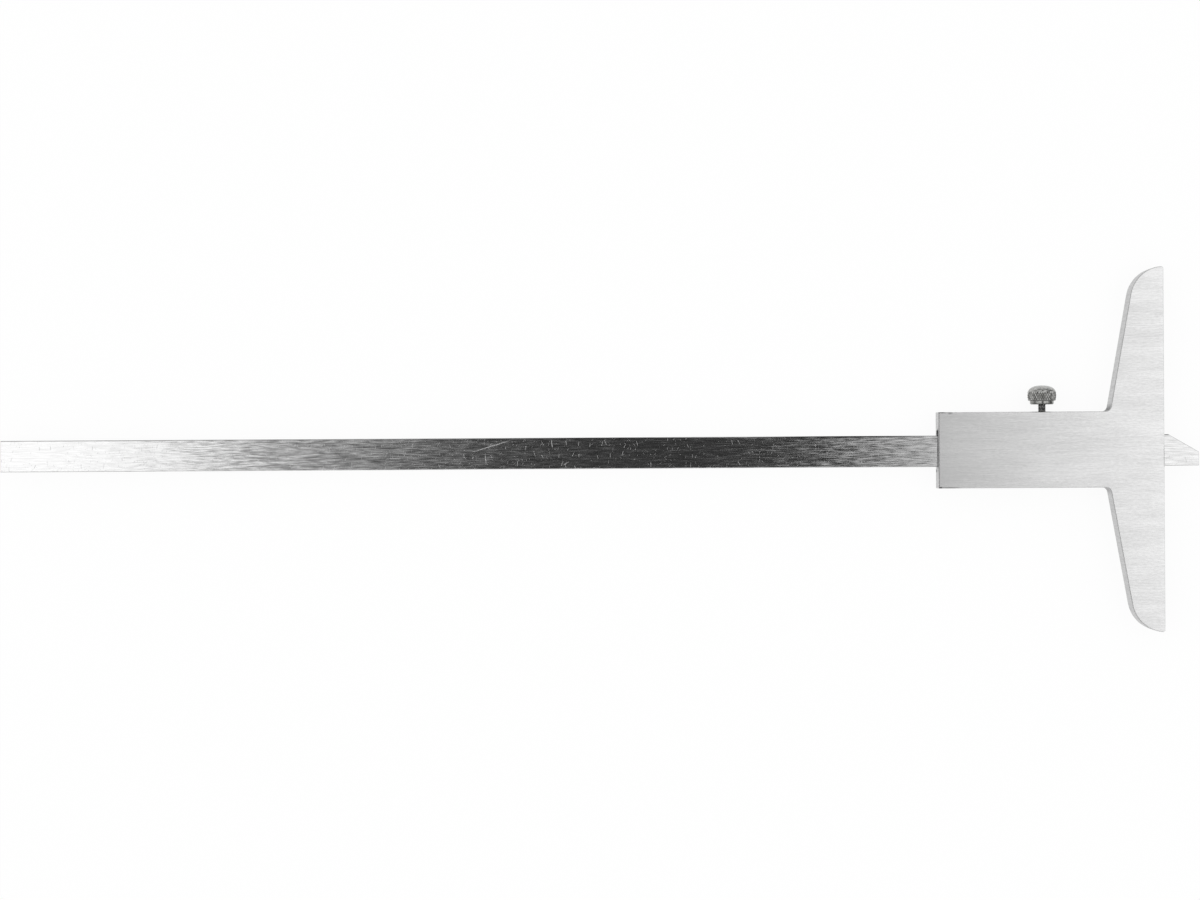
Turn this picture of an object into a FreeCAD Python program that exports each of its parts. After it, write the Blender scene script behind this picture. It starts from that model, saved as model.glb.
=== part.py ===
import FreeCAD, Part
import math
import os

# Vernier depth gauge, in millimetres, lying on its graduated front with its plain back up.
# +X runs along the beam to its tip, +Y to the lock screw and +Z to the back of the head.
# The origin is the middle of the bridge's measuring face, at half the head's thickness.

# Head: a block with a tapered bridge across its measuring end
head_length = 74.0
head_width = 25.0
head_thick = 8.0
bridge_length = 120.0
bridge_end_radius = 11.0
bridge_taper = math.radians(10.2)
bridge_root_radius = 1.9
bridge_corner_radius = 0.8
head_edge_break = 0.25

# Beam, with a tip bevelled on the lock screw's side
beam_length = 393.8
beam_width = 10.3
beam_thick = 3.5
beam_sideways = -0.3
beam_edge_break = 0.2
tip_face_width = 4.5
tip_bevel_angle = math.radians(30)
reading_at_rest = 11.8

# Slide channel through the head, with a gib strip above the beam
slide_gap = 0.05
gib_thick = 1.2
gib_height = 3.3
gib_from_end = 4.5
gib_from_face = 9.5
gib_end_bevel = 0.6
gib_back_gap = 0.45
corner_relief_radius = 0.6

# Front plate, which closes the channel, with a window over the scales
plate_side_gap = 0.03
plate_edge_break = 0.25
window_from_face = 10.5
window_from_end = 7.5
window_rail = 2.2
window_beam_cover = 1.2
window_corner_radius = 1.5
window_bevel = 0.7

# Vernier plate, let into the window beside the beam
vernier_thick = 1.5
vernier_side_gap = 0.1
vernier_over_beam = 3.3
vernier_edge_thick = 0.25

# Countersunk screws of the front plate
plate_screw_diameter = 2.5
plate_screw_head = 4.7
plate_screw_rim = 0.2
plate_screw_sunk = 0.1
plate_screw_grip = 4.0
plate_screw_slot = 0.6
plate_screw_end_inset = 3.75
plate_screw_face_inset = 5.25
plate_screw_side_inset = 3.2

# Low cheese-head screws of the vernier plate
vernier_screw_diameter = 2.0
vernier_screw_head = 3.4
vernier_screw_head_high = 0.6
vernier_screw_hole = 2.4
vernier_screw_grip = 3.0
vernier_screw_slot = 0.5
vernier_screw_slot_deep = 0.3
vernier_screw_end_inset = 7.0

# Slotted set screws that hold the gib strip against the beam
set_screw_diameter = 2.5
set_screw_sunk = 1.7
set_screw_from_gib_end = 14.0
set_screw_point = 1.5
set_screw_point_long = 0.6
set_screw_slot = 0.45
set_screw_slot_deep = 0.7
gib_dimple_deep = 0.3

# Lock screw on the head's top edge, over the gib strip's middle: knob, stud and pad
stud_diameter = 2.5
stud_in_knob = 2.9
stud_end_bevel = 0.3
knob_above_head = 2.4
knob_diameter = 9.5
knob_step_diameter = 7.8
knob_step_high = 1.15
knob_band_high = 2.65
knob_dome_high = 2.46
knob_shoulder_radius = 2.05
knob_under_bevel = 0.4
knob_step_bevel = 0.3
knob_seat_gap = 0.02
pad_thick = 1.5
pad_edge_break = 0.15
pad_to_gib = 0.2
pad_to_stud = 0.03

# Tapped holes
thread_gap = 0.05
hole_spare_depth = 0.4
hole_mouth_bevel = 0.3

# Every cut runs this far past the material, and places closer than the second value are the same
overrun = 1.0
same_place = 0.001

# Places worked out from the sizes above
half_thick = head_thick / 2
half_width = head_width / 2
half_bridge = bridge_length / 2
beam_low = beam_sideways - beam_width / 2
beam_high = beam_sideways + beam_width / 2
beam_tip = reading_at_rest
beam_end = beam_tip - beam_length
channel_deep = beam_thick / 2 + slide_gap
channel_low = beam_low - slide_gap
gib_low = beam_high + slide_gap
gib_high = gib_low + gib_thick
channel_high = gib_high + gib_back_gap
window_high_x = -window_from_face
window_low_x = window_from_end - head_length
window_low_y = window_rail - half_width
window_high_y = beam_high - window_beam_cover
vernier_front = -channel_deep - vernier_thick
vernier_low = window_low_y + vernier_side_gap
plate_screw_places = [
    (x, y)
    for x in (plate_screw_end_inset - head_length, -plate_screw_face_inset)
    for y in (plate_screw_side_inset - half_width, half_width - plate_screw_side_inset)
]
vernier_screw_places = [
    (window_low_x + vernier_screw_end_inset, (vernier_low + beam_low) / 2),
    (window_high_x - vernier_screw_end_inset, (vernier_low + beam_low) / 2),
]
gib_low_x = gib_from_end - head_length
gib_high_x = -gib_from_face
set_screw_places = [gib_low_x + set_screw_from_gib_end, gib_high_x - set_screw_from_gib_end]
set_screw_foot = gib_high - gib_dimple_deep
lock_x = (gib_low_x + gib_high_x) / 2
pad_low = gib_high + pad_to_gib
stud_low = pad_low + pad_thick + pad_to_stud
knob_low = half_width + knob_above_head

along_x = FreeCAD.Vector(1, 0, 0)
along_y = FreeCAD.Vector(0, 1, 0)
along_z = FreeCAD.Vector(0, 0, 1)


def box(x_span, y_span, z_span):
    low = FreeCAD.Vector(x_span[0], y_span[0], z_span[0])
    sizes = [span[1] - span[0] for span in (x_span, y_span, z_span)]
    return Part.makeBox(*sizes, low)


def line(start, end):
    return Part.makeLine(FreeCAD.Vector(*start, 0), FreeCAD.Vector(*end, 0))


def arc_about(centre, radius, start_angle, end_angle):
    angles = (start_angle, (start_angle + end_angle) / 2, end_angle)
    points = [
        FreeCAD.Vector(centre[0] + radius * math.cos(a), centre[1] + radius * math.sin(a), 0)
        for a in angles
    ]
    return Part.Arc(*points).toShape()


def prism(edges, low, high):
    # A solid between two heights over an outline drawn in the XY plane
    face = Part.Face(Part.Wire(edges))
    face.translate(along_z * low)
    return face.extrude(along_z * (high - low))


def turned(edges, x):
    # A solid turned from half an outline, drawn as (radius, height), about an axis along Y at x
    solid = Part.Face(Part.Wire(edges)).revolve(FreeCAD.Vector(), along_y, 360)
    solid.translate(along_x * x)
    return solid


def stood_on_x(solid):
    # A prism drawn as (y, z) in the XY plane, turned so that its length runs along X
    solid.Placement = FreeCAD.Placement(
        FreeCAD.Vector(), FreeCAD.Rotation(along_y, along_z, along_x, "ZXY")
    )
    return solid


def open_lines(points):
    return [line(a, b) for a, b in zip(points, points[1:])]


def closed_lines(points):
    return open_lines(points + points[:1])


def is_level(edge):
    return abs(edge.Vertexes[0].Z - edge.Vertexes[-1].Z) < same_place


def level_edges(solid):
    # The outlines of the upper and lower faces
    return [edge for edge in solid.Edges if is_level(edge)]


def upright_edges(solid, places):
    # The edges that stand along Z at any of some (x, y) places
    found = []
    for edge in solid.Edges:
        middle = edge.CenterOfMass
        spots = [FreeCAD.Vector(x, y, middle.z) for x, y in places]
        if not is_level(edge) and any(middle.isEqual(spot, same_place) for spot in spots):
            found.append(edge)
    return found


def beam():
    bevel_long = (beam_width - tip_face_width) / math.tan(tip_bevel_angle)
    outline = [
        (beam_end, beam_low),
        (beam_tip, beam_low),
        (beam_tip, beam_low + tip_face_width),
        (beam_tip - bevel_long, beam_high),
        (beam_end, beam_high),
    ]
    blank = prism(closed_lines(outline), -beam_thick / 2, beam_thick / 2)
    return blank.makeChamfer(beam_edge_break, level_edges(blank))


def head_blank():
    # The T outline: each arm tapers to a round end, and its tip meets the measuring face squarely
    end_centre = half_bridge - bridge_end_radius
    taper_end_x = -bridge_end_radius * math.cos(bridge_taper)
    taper_end_y = end_centre + bridge_end_radius * math.sin(bridge_taper)
    root_x = taper_end_x - math.tan(bridge_taper) * (taper_end_y - half_width)
    quarter = math.pi / 2
    round_start = math.pi - bridge_taper
    edges = [
        line((-head_length, -half_width), (root_x, -half_width)),
        line((root_x, -half_width), (taper_end_x, -taper_end_y)),
        arc_about((0, -end_centre), bridge_end_radius, -round_start, -quarter),
        line((0, -half_bridge), (0, half_bridge)),
        arc_about((0, end_centre), bridge_end_radius, quarter, round_start),
        line((taper_end_x, taper_end_y), (root_x, half_width)),
        line((root_x, half_width), (-head_length, half_width)),
        line((-head_length, half_width), (-head_length, -half_width)),
    ]
    blank = prism(edges, -half_thick, half_thick)
    roots = upright_edges(blank, [(root_x, -half_width), (root_x, half_width)])
    blank = blank.makeFillet(bridge_root_radius, roots)
    corners = upright_edges(blank, [(0, -half_bridge), (0, half_bridge)])
    blank = blank.makeFillet(bridge_corner_radius, corners)
    return blank.makeChamfer(head_edge_break, level_edges(blank))


def hole_from_top(x, diameter):
    # A bevelled hole from the head's top edge down into the channel
    radius = diameter / 2 + thread_gap
    drill = Part.makeCylinder(
        radius, half_width - channel_high + 2 * overrun,
        FreeCAD.Vector(x, channel_high - overrun, 0), along_y,
    )
    mouth = Part.makeCone(
        radius, radius + hole_mouth_bevel + overrun, hole_mouth_bevel + overrun,
        FreeCAD.Vector(x, half_width - hole_mouth_bevel, 0), along_y,
    )
    return drill.fuse(mouth)


def hole_from_front(place, diameter, deep):
    return Part.makeCylinder(
        diameter / 2 + thread_gap, deep + overrun,
        FreeCAD.Vector(*place, -channel_deep - overrun), along_z,
    )


def head_body():
    whole_length = (-head_length - overrun, overrun)
    channel = box(whole_length, (channel_low, channel_high), (-half_thick - overrun, channel_deep))
    seat_half = half_width + plate_side_gap
    seat = box(whole_length, (-seat_half, seat_half), (-half_thick - overrun, -channel_deep))
    cuts = [channel, seat]
    for y in (channel_low, channel_high):
        start = FreeCAD.Vector(whole_length[0], y, channel_deep)
        reach = whole_length[1] - whole_length[0]
        cuts.append(Part.makeCylinder(corner_relief_radius, reach, start, along_x))
    cuts.append(hole_from_top(lock_x, stud_diameter))
    for x in set_screw_places:
        cuts.append(hole_from_top(x, set_screw_diameter))
    for place in plate_screw_places:
        deep = plate_screw_grip + hole_spare_depth
        cuts.append(hole_from_front(place, plate_screw_diameter, deep))
    for place in vernier_screw_places:
        deep = vernier_screw_grip + hole_spare_depth
        cuts.append(hole_from_front(place, vernier_screw_diameter, deep))
    return head_blank().cut(cuts)


def sunk_head_height():
    return (plate_screw_head - plate_screw_diameter) / 2


def front_plate():
    plate = box((-head_length, 0), (-half_width, half_width), (-half_thick, -channel_deep))
    front_edges = [e for e in level_edges(plate) if e.CenterOfMass.z < -half_thick + same_place]
    plate = plate.makeChamfer(plate_edge_break, front_edges)
    window = box(
        (window_low_x, window_high_x),
        (window_low_y, window_high_y),
        (-half_thick - overrun, -channel_deep + overrun),
    )
    places = [
        (x, y) for x in (window_low_x, window_high_x) for y in (window_low_y, window_high_y)
    ]
    window = window.makeFillet(window_corner_radius, upright_edges(window, places))
    plate = plate.cut(window)
    # The window's outer edge is bevelled all round, so that the scale reads from the side too
    rim = []
    for edge in level_edges(plate):
        middle = edge.CenterOfMass
        in_front = middle.z < -half_thick + same_place
        along = window_low_x - same_place < middle.x < window_high_x + same_place
        across = window_low_y - same_place < middle.y < window_high_y + same_place
        if in_front and along and across:
            rim.append(edge)
    plate = plate.makeChamfer(window_bevel, rim)
    return plate.cut([sunk_hole(place) for place in plate_screw_places])


def sunk_hole(place):
    front = FreeCAD.Vector(*place, -half_thick - overrun)
    seat_top = -half_thick + plate_screw_sunk + plate_screw_rim
    through = Part.makeCylinder(
        plate_screw_diameter / 2 + thread_gap, head_thick, front, along_z
    )
    rim = Part.makeCylinder(
        plate_screw_head / 2 + thread_gap, seat_top - front.z, front, along_z
    )
    cone = Part.makeCone(
        plate_screw_head / 2, plate_screw_diameter / 2, sunk_head_height(),
        FreeCAD.Vector(*place, seat_top), along_z,
    )
    return through.fuse([rim, cone])


def plate_screw(place):
    top = -half_thick + plate_screw_sunk
    cone_top = top + plate_screw_rim
    cone_end = cone_top + sunk_head_height()
    foot = plate_screw_grip - channel_deep
    rim = Part.makeCylinder(
        plate_screw_head / 2, plate_screw_rim, FreeCAD.Vector(*place, top), along_z
    )
    cone = Part.makeCone(
        plate_screw_head / 2, plate_screw_diameter / 2, sunk_head_height(),
        FreeCAD.Vector(*place, cone_top), along_z,
    )
    shank = Part.makeCylinder(
        plate_screw_diameter / 2, foot - cone_end, FreeCAD.Vector(*place, cone_end), along_z
    )
    slot = box(
        (place[0] - plate_screw_head, place[0] + plate_screw_head),
        (place[1] - plate_screw_slot / 2, place[1] + plate_screw_slot / 2),
        (top - overrun, top + sunk_head_height() / 2),
    )
    return rim.fuse([cone, shank]).removeSplitter().cut(slot)


def vernier_plate():
    # Seen from its end: flat under the screws, then sloping down to a thin edge over the beam
    outline = [
        (vernier_low, -channel_deep),
        (beam_low + vernier_over_beam, -channel_deep),
        (beam_low + vernier_over_beam, -channel_deep - vernier_edge_thick),
        (beam_low, vernier_front),
        (vernier_low, vernier_front),
    ]
    low_x = window_low_x + vernier_side_gap
    high_x = window_high_x - vernier_side_gap
    plate = stood_on_x(prism(closed_lines(outline), low_x, high_x))
    corners = upright_edges(plate, [(low_x, vernier_low), (high_x, vernier_low)])
    plate = plate.makeFillet(window_corner_radius, corners)
    holes = [
        Part.makeCylinder(
            vernier_screw_hole / 2, vernier_thick + 2 * overrun,
            FreeCAD.Vector(*place, vernier_front - overrun), along_z,
        )
        for place in vernier_screw_places
    ]
    return plate.cut(holes)


def vernier_screw(place):
    top = vernier_front - vernier_screw_head_high
    head = Part.makeCylinder(
        vernier_screw_head / 2, vernier_screw_head_high, FreeCAD.Vector(*place, top), along_z
    )
    shank = Part.makeCylinder(
        vernier_screw_diameter / 2, vernier_thick + vernier_screw_grip,
        FreeCAD.Vector(*place, vernier_front), along_z,
    )
    slot = box(
        (place[0] - vernier_screw_slot / 2, place[0] + vernier_screw_slot / 2),
        (place[1] - vernier_screw_head, place[1] + vernier_screw_head),
        (top - overrun, top + vernier_screw_slot_deep),
    )
    return head.fuse(shank).removeSplitter().cut(slot)


def gib_strip():
    outline = [
        (gib_low_x, gib_low + gib_end_bevel),
        (gib_low_x + gib_end_bevel, gib_low),
        (gib_high_x - gib_end_bevel, gib_low),
        (gib_high_x, gib_low + gib_end_bevel),
        (gib_high_x, gib_high),
        (gib_low_x, gib_high),
    ]
    strip = prism(closed_lines(outline), -gib_height / 2, gib_height / 2)
    dimples = [
        Part.makeCylinder(
            set_screw_point / 2 + thread_gap, gib_dimple_deep + overrun,
            FreeCAD.Vector(x, set_screw_foot, 0), along_y,
        )
        for x in set_screw_places
    ]
    return strip.cut(dimples)


def gib_set_screw(x):
    foot = FreeCAD.Vector(x, set_screw_foot, 0)
    point = Part.makeCylinder(set_screw_point / 2, set_screw_point_long, foot, along_y)
    top = half_width - set_screw_sunk
    body_foot = set_screw_foot + set_screw_point_long
    body = Part.makeCylinder(
        set_screw_diameter / 2, top - body_foot, FreeCAD.Vector(x, body_foot, 0), along_y
    )
    slot = box(
        (x - set_screw_diameter, x + set_screw_diameter),
        (top - set_screw_slot_deep, top + overrun),
        (-set_screw_slot / 2, set_screw_slot / 2),
    )
    return point.fuse(body).removeSplitter().cut(slot)


def lock_knob():
    # Half outline as (radius, height): a round step, a straight band and a flattened dome
    radius = knob_diameter / 2
    step = knob_step_diameter / 2
    bore = stud_diameter / 2 + knob_seat_gap
    step_top = knob_low + knob_step_high
    band_top = step_top + knob_band_high
    dome_top = band_top + knob_dome_high
    # The crown is an arc on the axis that is tangent to the shoulder's arc
    shoulder_in = radius - knob_shoulder_radius
    rise = knob_dome_high - knob_shoulder_radius
    crown_down = (shoulder_in ** 2 - rise ** 2) / (2 * rise)
    crown_radius = crown_down + knob_dome_high
    turn = math.atan2(crown_down, shoulder_in)
    quarter = math.pi / 2
    side = [
        (0, dome_top),
        (0, knob_low + stud_in_knob),
        (bore, knob_low + stud_in_knob),
        (bore, knob_low),
        (step - knob_step_bevel, knob_low),
        (step, knob_low + knob_step_bevel),
        (step, step_top),
        (radius - knob_under_bevel, step_top),
        (radius, step_top + knob_under_bevel),
        (radius, band_top),
    ]
    dome = [
        arc_about((shoulder_in, band_top), knob_shoulder_radius, 0, turn),
        arc_about((0, band_top - crown_down), crown_radius, turn, quarter),
    ]
    return turned(open_lines(side) + dome, lock_x)


def lock_rod(low, high, diameter, bevel):
    # A round rod on the lock screw's axis with its lower rim bevelled
    radius = diameter / 2
    outline = [
        (0, low),
        (radius - bevel, low),
        (radius, low + bevel),
        (radius, high),
        (0, high),
    ]
    return turned(closed_lines(outline), lock_x)


def lock_stud():
    high = knob_low + stud_in_knob
    return lock_rod(stud_low, high, stud_diameter, stud_end_bevel)


def lock_pad():
    high = pad_low + pad_thick
    return lock_rod(pad_low, high, stud_diameter, pad_edge_break)


nodes = {
    "beam": beam(),
    "head_body": head_body(),
    "front_plate": front_plate(),
    "vernier_plate": vernier_plate(),
    "gib_strip": gib_strip(),
    "lock_knob": lock_knob(),
    "lock_stud": lock_stud(),
    "lock_pad": lock_pad(),
}
for number, place in enumerate(plate_screw_places, start=1):
    nodes[f"front_plate_screw_{number}"] = plate_screw(place)
for number, place in enumerate(vernier_screw_places, start=1):
    nodes[f"vernier_screw_{number}"] = vernier_screw(place)
for number, x in enumerate(set_screw_places, start=1):
    nodes[f"gib_set_screw_{number}"] = gib_set_screw(x)

os.makedirs("parts", exist_ok=True)
for name, shape in nodes.items():
    solids = shape.Solids
    valid = shape.isValid()
    print(f"{name}: {len(solids)} solid, valid {valid}, {shape.Volume:.2f} cubic mm")
    solids[0].exportStep(os.path.join("parts", f"{name}.step"))
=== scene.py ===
import bmesh
import bpy
import math
from mathutils import Matrix, Vector


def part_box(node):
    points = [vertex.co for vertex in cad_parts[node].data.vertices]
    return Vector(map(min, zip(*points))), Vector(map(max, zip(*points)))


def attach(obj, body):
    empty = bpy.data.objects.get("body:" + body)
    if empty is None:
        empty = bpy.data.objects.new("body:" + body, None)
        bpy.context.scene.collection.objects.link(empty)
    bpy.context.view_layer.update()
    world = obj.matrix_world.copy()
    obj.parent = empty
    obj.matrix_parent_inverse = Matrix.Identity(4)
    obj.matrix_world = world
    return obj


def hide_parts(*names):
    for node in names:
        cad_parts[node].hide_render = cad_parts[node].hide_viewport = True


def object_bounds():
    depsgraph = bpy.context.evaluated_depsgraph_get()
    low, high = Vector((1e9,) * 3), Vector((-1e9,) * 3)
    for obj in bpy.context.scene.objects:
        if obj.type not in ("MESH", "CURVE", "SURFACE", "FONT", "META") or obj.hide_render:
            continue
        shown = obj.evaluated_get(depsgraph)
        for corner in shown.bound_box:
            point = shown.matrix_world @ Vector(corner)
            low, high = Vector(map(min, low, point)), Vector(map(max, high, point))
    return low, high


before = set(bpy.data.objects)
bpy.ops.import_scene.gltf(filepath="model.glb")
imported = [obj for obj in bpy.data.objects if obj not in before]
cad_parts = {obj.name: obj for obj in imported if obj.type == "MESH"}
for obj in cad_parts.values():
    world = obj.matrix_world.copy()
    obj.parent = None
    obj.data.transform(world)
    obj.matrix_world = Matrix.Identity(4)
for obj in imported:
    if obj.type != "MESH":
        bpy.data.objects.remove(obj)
cadLow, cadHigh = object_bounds()
scene = bpy.context.scene
mm = 0.001
samePlace = 0.002  # mm: points closer than this are one


def addNode(owner, kind, inputs=None, **settings):
    # one node with its settings: an input is a value, a socket, or a node whose first output it takes
    node = owner.node_tree.nodes.new(kind)
    for name, value in settings.items():
        setattr(node, name, value)
    for name, value in (inputs or {}).items():
        if isinstance(value, bpy.types.Node):
            value = next(socket for socket in value.outputs if socket.enabled)
        if isinstance(value, bpy.types.NodeSocket):
            owner.node_tree.links.new(value, node.inputs[name])
        else:
            node.inputs[name].default_value = value
    return node


def linearColour(hexCode):
    # an sRGB hex code as linear red, green, blue and alpha
    parts = [int(hexCode[i:i + 2], 16) / 255 for i in (1, 3, 5)]
    return [c / 12.92 if c <= 0.04045 else ((c + 0.055) / 1.055) ** 2.4 for c in parts] + [1]


# The photograph looks straight down from far off, over the middle of the beam
cameraSet = {
    "fromFace": 185.0,  # mm from the measuring face towards the beam's far end
    "sideways": 0.76,  # mm towards the lock screw
    "height": 904.0,  # mm above the middle of the beam
    "turned": 0.335,  # degrees that the gauge lies turned in the picture
    "lens": 82.4,  # mm
    "sensor": 36,  # mm
    "farthest": 10,  # metres that it sees
}


def makeCamera():
    data = bpy.data.cameras.new("photoCamera")
    data.lens = cameraSet["lens"]
    data.sensor_width = cameraSet["sensor"]
    data.clip_end = cameraSet["farthest"]
    camera = bpy.data.objects.new("photoCamera", data)
    camera.location = (-cameraSet["fromFace"] * mm, cameraSet["sideways"] * mm, cameraSet["height"] * mm)
    camera.rotation_euler = (0, 0, -math.radians(cameraSet["turned"]))
    scene.collection.objects.link(camera)
    scene.camera = camera
    scene.view_settings.view_transform = "Standard"


def seenByCamera(owner, path):
    # 1 for a ray that the camera sees, straight, mirrored or through something clear
    straight = addNode(owner, "ShaderNodeMath", {
        0: path["Is Camera Ray"], 1: path["Is Glossy Ray"],
    }, operation="MAXIMUM")
    return addNode(owner, "ShaderNodeMath", {
        0: straight, 1: path["Is Transmission Ray"],
    }, operation="MAXIMUM")


# White room with a dark gap overhead, where the camera looks through between two soft boxes
roomSet = {
    "gapTilt": 1.34,  # degrees from straight up to the gap's middle, towards the tip
    "gapDark": 1.6,  # degrees from its middle to where it lightens
    "gapLight": 14.3,  # degrees from its middle to full white
    "gapShade": 0.036,
    "gapReach": (0.45, 0.55),  # heights of the gap's ends on a sphere of radius 1
    "footShade": 0.42,  # the walls at floor level
    "endShade": 0.15,  # the end wall past the tip, at floor level
    "wallHigh": 0.8,  # height on that sphere where all walls are white
    "underShade": 0.8,  # what lights the gauge from below, once it is seen from there
    "evenLight": 0.9,  # what the room gives to paint and to the table
    "lowest": 0.01,  # height below which the gap is worked out as if it were there
}


def makeRoom():
    world = bpy.data.worlds.new("whiteRoom")
    world.use_nodes = True
    world.node_tree.nodes.clear()
    scene.world = world
    direction = addNode(world, "ShaderNodeTexCoord").outputs["Generated"]
    axes = addNode(world, "ShaderNodeSeparateXYZ", {0: direction}).outputs
    above = addNode(world, "ShaderNodeMath", {0: axes["Z"], 1: roomSet["lowest"]}, operation="MAXIMUM")
    tilt = addNode(world, "ShaderNodeMath", {0: axes["X"], 1: above}, operation="DIVIDE")
    middle = math.tan(math.radians(roomSet["gapTilt"]))
    off = addNode(world, "ShaderNodeMath", {0: tilt, 1: middle}, operation="SUBTRACT")
    away = addNode(world, "ShaderNodeMath", {0: off}, operation="ABSOLUTE")
    gap = addNode(world, "ShaderNodeMapRange", {
        "Value": away,
        "From Min": math.tan(math.radians(roomSet["gapDark"])),
        "From Max": math.tan(math.radians(roomSet["gapLight"])),
        "To Min": roomSet["gapShade"],
    }, interpolation_type="SMOOTHERSTEP")
    gapEnd = addNode(world, "ShaderNodeMapRange", {
        "Value": axes["Z"], "From Min": roomSet["gapReach"][1], "From Max": roomSet["gapReach"][0],
    }, interpolation_type="SMOOTHSTEP")
    overhead = addNode(world, "ShaderNodeMath", {0: gap, 1: gapEnd}, operation="MAXIMUM")
    foot = addNode(world, "ShaderNodeMapRange", {
        "Value": axes["X"], "To Min": roomSet["footShade"], "To Max": roomSet["endShade"],
    }, interpolation_type="SMOOTHSTEP")
    wall = addNode(world, "ShaderNodeMapRange", {
        "Value": axes["Z"], "From Max": roomSet["wallHigh"], "To Min": foot,
    }, interpolation_type="SMOOTHSTEP")
    room = addNode(world, "ShaderNodeMath", {0: overhead, 1: wall}, operation="MULTIPLY")
    below = addNode(world, "ShaderNodeMath", {0: axes["Z"], 1: 0.0}, operation="LESS_THAN")
    shade = addNode(world, "ShaderNodeMix", {"Factor": below, "A": room, "B": roomSet["underShade"]})
    # the camera sees plain white, metal sees the white room with its gap
    path = addNode(world, "ShaderNodeLightPath").outputs
    view = addNode(world, "ShaderNodeMix", {"Factor": path["Is Camera Ray"], "A": shade, "B": 1.0})
    seen = seenByCamera(world, path)
    strength = addNode(world, "ShaderNodeMix", {"Factor": seen, "A": roomSet["evenLight"], "B": view})
    white = addNode(world, "ShaderNodeBackground", {"Color": (1, 1, 1, 1), "Strength": strength})
    addNode(world, "ShaderNodeOutputWorld", {"Surface": white})


# Soft boxes left and right of the gap
lampSet = {
    "leftBox": {"place": (-1120, 0, 1300), "size": (900, 1400), "power": 1.9},
    "rightBox": {"place": (660, 0, 1300), "size": (800, 1400), "power": 1.5},
}


def makeLamps():
    aim = Vector((-cameraSet["fromFace"] * mm, 0, 0))
    for name, values in lampSet.items():
        data = bpy.data.lights.new(name, "AREA")
        data.shape = "RECTANGLE"
        data.size = values["size"][0] * mm
        data.size_y = values["size"][1] * mm
        data.energy = values["power"]
        lamp = bpy.data.objects.new(name, data)
        lamp.location = Vector(values["place"]) * mm
        lamp.rotation_euler = (lamp.location - aim).to_track_quat("Z", "Y").to_euler()
        scene.collection.objects.link(lamp)


# Matt white photo table
tableSet = {
    "width": 6.0,  # metres
    "colour": "#fafafa",
    "glow": 0.92,  # share of plain white that the camera and the metal see in it
    "below": 0.02,  # mm under the lowest piece
}


def paleTable():
    # Matt laminate: white and dull, so it takes a soft shadow and no gloss
    table = bpy.data.materials.new("paleTable")
    table.use_nodes = True
    table.node_tree.nodes.clear()
    path = addNode(table, "ShaderNodeLightPath").outputs
    matt = addNode(table, "ShaderNodeBsdfDiffuse", {"Color": linearColour(tableSet["colour"])})
    white = addNode(table, "ShaderNodeEmission", {"Color": (1, 1, 1, 1), "Strength": 1.0})
    glow = addNode(table, "ShaderNodeMath", {
        0: seenByCamera(table, path), 1: tableSet["glow"],
    }, operation="MULTIPLY")
    top = addNode(table, "ShaderNodeMixShader", {0: glow, 1: matt, 2: white})
    # from underneath the table is clear, so that the graduated front can be looked at
    behind = addNode(table, "ShaderNodeNewGeometry").outputs["Backfacing"]
    under = addNode(table, "ShaderNodeMath", {0: behind, 1: path["Transparent Depth"]}, operation="MAXIMUM")
    isUnder = addNode(table, "ShaderNodeMath", {0: under, 1: 0.0}, operation="GREATER_THAN")
    clear = addNode(table, "ShaderNodeBsdfTransparent")
    both = addNode(table, "ShaderNodeMixShader", {0: isUnder, 1: top, 2: clear})
    addNode(table, "ShaderNodeOutputMaterial", {"Surface": both})
    return table


def makeTable():
    shape = bmesh.new()
    bmesh.ops.create_grid(shape, x_segments=1, y_segments=1, size=tableSet["width"] / 2)
    mesh = bpy.data.meshes.new("table")
    shape.to_mesh(mesh)
    shape.free()
    table = bpy.data.objects.new("table", mesh)
    table.location.z = cadLow.z - tableSet["below"] * mm
    mesh.materials.append(paleTable())
    scene.collection.objects.link(table)


def startMaterial(name):
    # an empty material, with the object coordinates that its patterns follow
    material = bpy.data.materials.new(name)
    material.use_nodes = True
    material.node_tree.nodes.clear()
    return material, addNode(material, "ShaderNodeTexCoord").outputs["Object"]


def closeMaterial(material, relief, deep, inputs, lean=None):
    # the shader, over a relief with deep mm between its 0 and its 1, and a lean of the surface towards +X
    normal = addNode(material, "ShaderNodeBump", {"Strength": 1.0, "Distance": deep * mm, "Height": relief})
    if lean:
        tipped = addNode(material, "ShaderNodeCombineXYZ", {"X": lean})
        normal = addNode(material, "ShaderNodeVectorMath", {0: normal, 1: tipped})
        normal = addNode(material, "ShaderNodeVectorMath", {0: normal}, operation="NORMALIZE")
    shader = addNode(material, "ShaderNodeBsdfPrincipled", {"Metallic": 1.0, "Normal": normal, **inputs})
    addNode(material, "ShaderNodeOutputMaterial", {"Surface": shader})
    return material


fineDetail = 3.0  # layers of a noise that is looked at closely


def grain(material, coords, size, detail=2.0):
    # cloudy grain, its spots as long as size says in mm along each axis
    sized = addNode(material, "ShaderNodeMapping", {"Vector": coords, "Scale": [1 / (s * mm) for s in size]})
    return addNode(material, "ShaderNodeTexNoise", {"Vector": sized, "Scale": 1.0, "Detail": detail})


def spot(material, coords, middle, half, turn=0.0):
    # 1 in the middle of a soft oval, 0 at its rim, with its place and half its size in mm
    placed = addNode(material, "ShaderNodeMapping", {
        "Vector": coords,
        "Location": [m * mm for m in middle],
        "Rotation": (0, 0, turn),
        "Scale": [h * mm for h in half],
    }, vector_type="TEXTURE")
    return addNode(material, "ShaderNodeTexGradient", {"Vector": placed}, gradient_type="SPHERICAL")


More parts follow.
